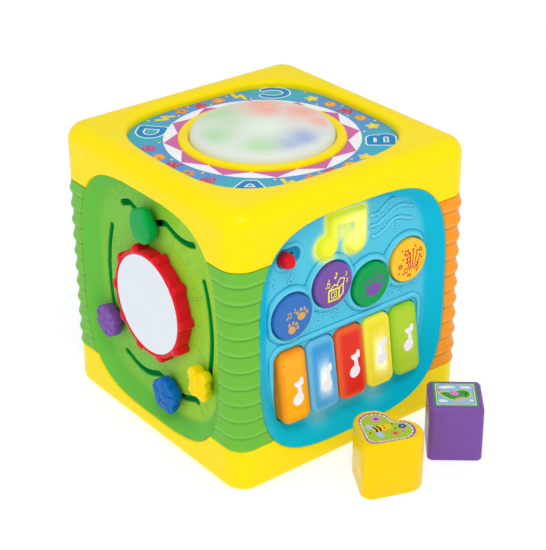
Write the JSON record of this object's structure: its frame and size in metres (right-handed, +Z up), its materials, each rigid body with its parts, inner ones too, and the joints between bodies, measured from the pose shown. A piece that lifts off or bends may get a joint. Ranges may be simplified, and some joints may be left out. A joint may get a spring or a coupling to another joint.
{
  "type": "baby activity cube",
  "caption": "Toy cube with a drum top, piano keys, push buttons, slide switch, turning mirror, slot sliders, shape sorter and meshing gears, with loose blocks.",
  "frame": {"origin": "centre of the cube's flat underside", "axes": "+Z up towards the drum; -Y out of the piano side; -X out of the mirror side; +X out of the sorter side; +Y out of the gear side"},
  "size_m": [0.241, 0.3219, 0.2535],
  "materials": {
    "yellow_plastic": "glossy moulded",
    "leaf_green_plastic": "satin moulded",
    "lime_plastic": "satin moulded",
    "orange_plastic": "satin moulded",
    "cyan_plastic": "satin moulded",
    "red_plastic": "glossy moulded",
    "blue_plastic": "glossy moulded",
    "purple_plastic": "glossy moulded",
    "green_plastic": "glossy moulded",
    "amber_plastic": "glossy moulded",
    "milky_plastic": "translucent milky",
    "lens_plastic": "translucent",
    "sticker_sheet": "printed sheet",
    "mirror_sheet": "mirror film on plastic",
    "black_plastic": "matt",
    "grey_rubber": "matt",
    "circuit_board": "lacquered board",
    "screw_steel": "plated"
  },
  "bodies": {
    "main": {"top_cap": "yellow_plastic", "bottom_cap": "yellow_plastic", "post_front_left": "leaf_green_plastic", "post_back_left": "leaf_green_plastic", "post_front_right": "orange_plastic", "post_back_right": "orange_plastic", "case_screw_1": "screw_steel", "case_screw_2": "screw_steel", "case_screw_3": "screw_steel", "case_screw_4": "screw_steel", "drum_label": "sticker_sheet", "drum_ring": "yellow_plastic", "drum_light_board": "circuit_board", "piano_panel": "cyan_plastic", "note_lens": "lens_plastic", "key_contact_mat": "grey_rubber", "main_board": "circuit_board", "speaker": "black_plastic", "mirror_panel": "lime_plastic", "sorter_panel": "orange_plastic", "sorter_bin": "cyan_plastic", "gear_panel": "cyan_plastic", "battery_box": "black_plastic", "battery_door": "yellow_plastic", "battery_screw": "screw_steel", "battery_cell_1": "black_plastic", "battery_cell_2": "black_plastic", "battery_cell_3": "black_plastic"},
    "drum": {"drum_dome": "milky_plastic"},
    "mirror": {"mirror_ring": "red_plastic", "mirror_disc": "mirror_sheet", "mirror_retainer": "black_plastic"},
    "switch": {"switch_knob": "red_plastic"},
    "apple_carriage": {"apple_washer": "black_plastic"},
    "apple_crank": {"apple_screw": "screw_steel"},
    "apple_rider": {"apple_knob": "green_plastic"},
    "flower_carriage": {"flower_washer": "black_plastic"},
    "flower_crank": {"flower_screw": "screw_steel"},
    "flower_rider": {"flower_knob": "blue_plastic"},
    "tulip_slider": {"tulip_knob": "purple_plastic", "tulip_washer": "black_plastic", "tulip_screw": "screw_steel"},
    "butterfly_slider": {"butterfly_knob": "yellow_plastic", "butterfly_washer": "black_plastic", "butterfly_screw": "screw_steel"},
    "door": {"sorter_door": "yellow_plastic"},
    "large_wheel": {"gear_large": "red_plastic"},
    "medium_wheel": {"gear_medium": "yellow_plastic"},
    "small_wheel": {"gear_small": "purple_plastic"},
    "heart": {"heart_block": "yellow_plastic"},
    "square": {"square_block": "purple_plastic"},
    "piano_orange": {"key_orange": "orange_plastic"},
    "piano_blue": {"key_blue": "blue_plastic"},
    "piano_red": {"key_red": "red_plastic"},
    "piano_yellow": {"key_yellow": "yellow_plastic"},
    "piano_lime": {"key_lime": "lime_plastic"},
    "push_blue": {"button_blue": "blue_plastic"},
    "push_purple": {"button_purple": "purple_plastic"},
    "push_green": {"button_green": "green_plastic"},
    "push_amber": {"button_amber": "amber_plastic"}
  },
  "joints": [
    {"name": "drum_press", "type": "slide", "parent": "main", "child": "drum", "axis": [0, 0, -1], "range_m": [0, 0.0025], "stiffness_N_per_m": 1500, "springref_m": -0.0008},
    {"name": "piano_orange_press", "type": "hinge", "parent": "main", "child": "piano_orange", "pos_m": [-0.0592, -0.1045, 0.1085], "axis": [1, 0, 0], "range_deg": [0, 3.5], "stiffness_Nm_per_rad": 0.6, "springref_deg": -1.72},
    {"name": "piano_blue_press", "type": "hinge", "parent": "main", "child": "piano_blue", "pos_m": [-0.0296, -0.1045, 0.1085], "axis": [1, 0, 0], "range_deg": [0, 3.5], "stiffness_Nm_per_rad": 0.6, "springref_deg": -1.72},
    {"name": "piano_red_press", "type": "hinge", "parent": "main", "child": "piano_red", "pos_m": [0, -0.1045, 0.1085], "axis": [1, 0, 0], "range_deg": [0, 3.5], "stiffness_Nm_per_rad": 0.6, "springref_deg": -1.72},
    {"name": "piano_yellow_press", "type": "hinge", "parent": "main", "child": "piano_yellow", "pos_m": [0.0296, -0.1045, 0.1085], "axis": [1, 0, 0], "range_deg": [0, 3.5], "stiffness_Nm_per_rad": 0.6, "springref_deg": -1.72},
    {"name": "piano_lime_press", "type": "hinge", "parent": "main", "child": "piano_lime", "pos_m": [0.0592, -0.1045, 0.1085], "axis": [1, 0, 0], "range_deg": [0, 3.5], "stiffness_Nm_per_rad": 0.6, "springref_deg": -1.72},
    {"name": "push_blue_press", "type": "slide", "parent": "main", "child": "push_blue", "axis": [0, 1, 0], "range_m": [0, 0.003], "stiffness_N_per_m": 400, "springref_m": -0.001},
    {"name": "push_purple_press", "type": "slide", "parent": "main", "child": "push_purple", "axis": [0, 1, 0], "range_m": [0, 0.003], "stiffness_N_per_m": 400, "springref_m": -0.001},
    {"name": "push_green_press", "type": "slide", "parent": "main", "child": "push_green", "axis": [0, 1, 0], "range_m": [0, 0.003], "stiffness_N_per_m": 400, "springref_m": -0.001},
    {"name": "push_amber_press", "type": "slide", "parent": "main", "child": "push_amber", "axis": [0, 1, 0], "range_m": [0, 0.003], "stiffness_N_per_m": 400, "springref_m": -0.001},
    {"name": "switch_slide", "type": "slide", "parent": "main", "child": "switch", "axis": [1, 0, 0], "range_m": [0, 0.0095]},
    {"name": "mirror_spin", "type": "hinge", "parent": "main", "child": "mirror", "pos_m": [-0.12, 0, 0.1238], "axis": [1, 0, 0], "continuous": true},
    {"name": "apple_travel", "type": "slide", "parent": "main", "child": "apple_carriage", "axis": [0, -1, 0], "range_m": [-0.043, 0.056]},
    {"name": "apple_turn", "type": "hinge", "parent": "apple_carriage", "child": "apple_crank", "pos_m": [-0.12, 0.007, 0.1949], "axis": [-1, 0, 0], "range_deg": [-312.6, 406.2]},
    {"name": "apple_upright", "type": "hinge", "parent": "apple_crank", "child": "apple_rider", "pos_m": [-0.12, 0.00546, 0.1921], "axis": [-1, 0, 0], "range_deg": [-406.2, 312.6]},
    {"name": "flower_travel", "type": "slide", "parent": "main", "child": "flower_carriage", "axis": [0, -1, 0], "range_m": [-0.072, 0.033]},
    {"name": "flower_turn", "type": "hinge", "parent": "flower_carriage", "child": "flower_crank", "pos_m": [-0.12, -0.019, 0.0486], "axis": [-1, 0, 0], "range_deg": [-521.4, 240.6]},
    {"name": "flower_upright", "type": "hinge", "parent": "flower_crank", "child": "flower_rider", "pos_m": [-0.12, -0.01765, 0.0457], "axis": [-1, 0, 0], "range_deg": [-240.6, 521.4]},
    {"name": "tulip_swing", "type": "hinge", "parent": "main", "child": "tulip_slider", "pos_m": [-0.12, -0.0675, 0.121], "axis": [1, 0, 0], "range_deg": [0, 36.64]},
    {"name": "butterfly_swing", "type": "hinge", "parent": "main", "child": "butterfly_slider", "pos_m": [-0.12, 0.0675, 0.121], "axis": [-1, 0, 0], "range_deg": [0, 36.64]},
    {"name": "door_swing", "type": "hinge", "parent": "main", "child": "door", "pos_m": [0.1054, 0, 0.0586], "axis": [0, 1, 0], "range_deg": [0, 95]},
    {"name": "large_wheel_spin", "type": "hinge", "parent": "main", "child": "large_wheel", "pos_m": [0.03, 0.12, 0.102], "axis": [0, 1, 0], "continuous": true},
    {"name": "medium_wheel_spin", "type": "hinge", "parent": "main", "child": "medium_wheel", "pos_m": [-0.02204, 0.12, 0.13844], "axis": [0, 1, 0], "continuous": true},
    {"name": "small_wheel_spin", "type": "hinge", "parent": "main", "child": "small_wheel", "pos_m": [0.03193, 0.12, 0.15738], "axis": [0, 1, 0], "continuous": true},
    {"name": "heart_lift", "type": "slide", "parent": "main", "child": "heart", "axis": [0, 0, 1], "range_m": [0, 0.12]},
    {"name": "square_lift", "type": "slide", "parent": "main", "child": "square", "axis": [0, 0, 1], "range_m": [0, 0.12]}
  ],
  "couplings": [
    {"joint": "apple_turn", "follows": "apple_travel", "rad_per_m": 125.66},
    {"joint": "apple_upright", "follows": "apple_travel", "rad_per_m": -125.66},
    {"joint": "flower_turn", "follows": "flower_travel", "rad_per_m": 125.66},
    {"joint": "flower_upright", "follows": "flower_travel", "rad_per_m": -125.66},
    {"joint": "medium_wheel_spin", "follows": "large_wheel_spin", "ratio": -1.3},
    {"joint": "small_wheel_spin", "follows": "large_wheel_spin", "ratio": -1.8571}
  ]
}
